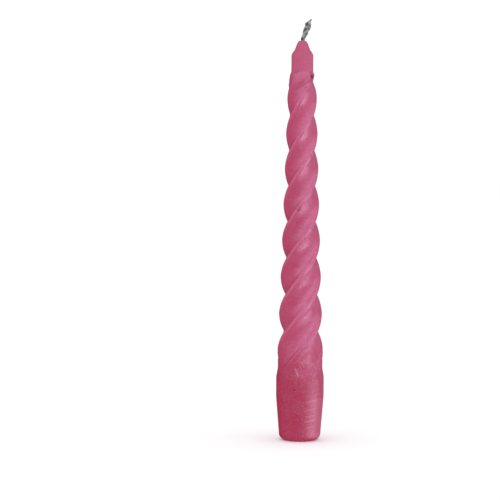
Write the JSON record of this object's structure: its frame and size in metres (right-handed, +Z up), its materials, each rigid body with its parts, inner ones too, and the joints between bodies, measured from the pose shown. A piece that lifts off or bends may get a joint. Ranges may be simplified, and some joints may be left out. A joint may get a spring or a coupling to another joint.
{
  "type": "twisted taper candle",
  "caption": "Slim twisted taper candle in dyed wax: a plain round foot, winding flutes, a collar and a cone tip with a braided cotton wick.",
  "frame": {"origin": "middle of the flat base, on the candle's axis", "axes": "+Z up along the candle towards the wick, +X to the side that the wick's free end leans to"},
  "size_m": [0.0226, 0.0226, 0.2006],
  "materials": {
    "wax": "satin",
    "wick_cotton": "matte"
  },
  "bodies": {
    "root": {"wax_body": "wax", "wick_plait_1": "wick_cotton", "wick_plait_2": "wick_cotton", "wick_plait_3": "wick_cotton"}
  },
  "joints": []
}
